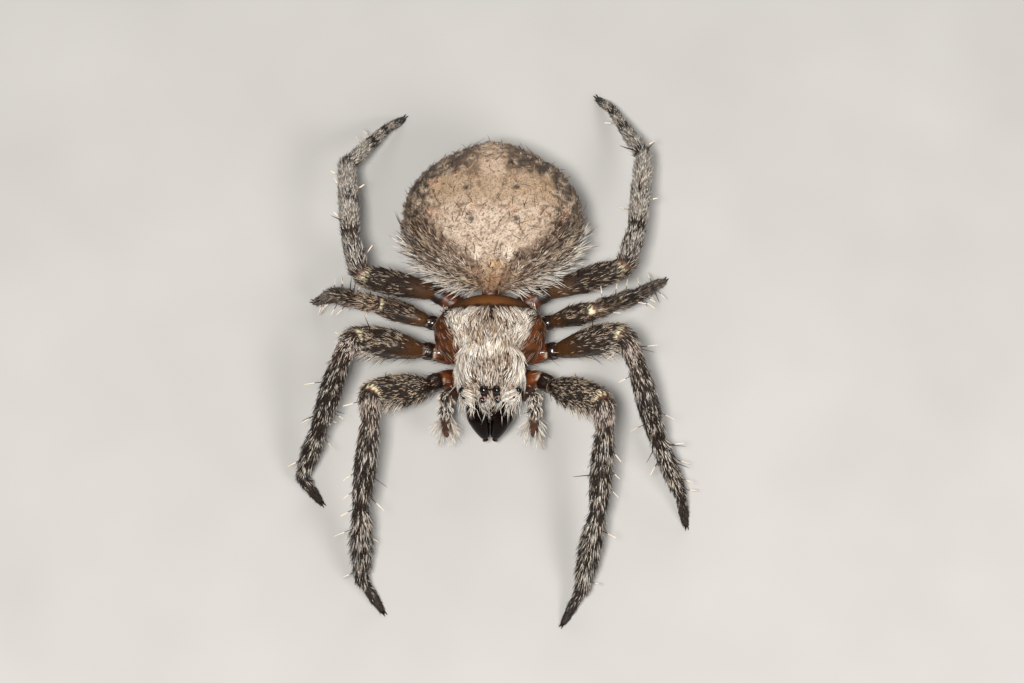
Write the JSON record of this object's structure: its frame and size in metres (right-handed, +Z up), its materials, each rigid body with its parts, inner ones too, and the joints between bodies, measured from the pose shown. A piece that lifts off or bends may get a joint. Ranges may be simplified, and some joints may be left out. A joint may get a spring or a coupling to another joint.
{
  "type": "orb weaver spider",
  "caption": "Still, life-size museum model of a hairy orb weaver spider standing with legs bent: domed carapace, round mottled abdomen, banded bristly legs.",
  "frame": {"origin": "on the floor, at the middle of the box that holds the whole spider", "axes": "+Z up, away from the floor the spider stands on; -Y the way the head points, so the abdomen is towards +Y; +X the spider's left side"},
  "size_m": [0.0181, 0.0264, 0.0077],
  "materials": {
    "carapace_coat": "close cover of whitish and pale tan lying hairs over glossy orange-brown cuticle",
    "abdomen_coat": "cream and tan skin with dark freckles, grey and black mottled sides, short lying hairs and a fringe of long white hairs in front",
    "leg_coat": "grizzled black, grey and white bristly hairs in rings over dark brown cuticle, with stout pale-tipped spines",
    "brown_cuticle": "glossy bare orange-brown to dark brown cuticle",
    "dark_cuticle": "dark brown cuticle with sparse short hairs",
    "jaw": "glossy black cuticle with a dark red sheen",
    "eye": "glossy black-brown lens"
  },
  "bodies": {
    "root": {"carapace": "carapace_coat", "sternum": "dark_cuticle", "pedicel": "brown_cuticle", "abdomen": "abdomen_coat", "spinnerets": "brown_cuticle", "mouthparts": "dark_cuticle", "eye_rear_median_right": "eye", "eye_front_median_right": "eye", "eye_rear_side_right": "eye", "eye_front_side_right": "eye", "chelicera_right": "jaw", "fang_right": "jaw", "palp_upper_right": "leg_coat", "palp_lower_right": "leg_coat", "leg_1_base_right": "brown_cuticle", "leg_1_femur_right": "leg_coat", "leg_1_shin_right": "leg_coat", "leg_1_foot_right": "leg_coat", "leg_2_base_right": "brown_cuticle", "leg_2_femur_right": "leg_coat", "leg_2_shin_right": "leg_coat", "leg_2_foot_right": "leg_coat", "leg_3_base_right": "brown_cuticle", "leg_3_femur_right": "leg_coat", "leg_3_shin_right": "leg_coat", "leg_3_foot_right": "leg_coat", "leg_4_base_right": "brown_cuticle", "leg_4_femur_right": "leg_coat", "leg_4_shin_right": "leg_coat", "leg_4_foot_right": "leg_coat", "eye_rear_median_left": "eye", "eye_front_median_left": "eye", "eye_rear_side_left": "eye", "eye_front_side_left": "eye", "chelicera_left": "jaw", "fang_left": "jaw", "palp_upper_left": "leg_coat", "palp_lower_left": "leg_coat", "leg_1_base_left": "brown_cuticle", "leg_1_femur_left": "leg_coat", "leg_1_shin_left": "leg_coat", "leg_1_foot_left": "leg_coat", "leg_2_base_left": "brown_cuticle", "leg_2_femur_left": "leg_coat", "leg_2_shin_left": "leg_coat", "leg_2_foot_left": "leg_coat", "leg_3_base_left": "brown_cuticle", "leg_3_femur_left": "leg_coat", "leg_3_shin_left": "leg_coat", "leg_3_foot_left": "leg_coat", "leg_4_base_left": "brown_cuticle", "leg_4_femur_left": "leg_coat", "leg_4_shin_left": "leg_coat", "leg_4_foot_left": "leg_coat"}
  },
  "joints": []
}
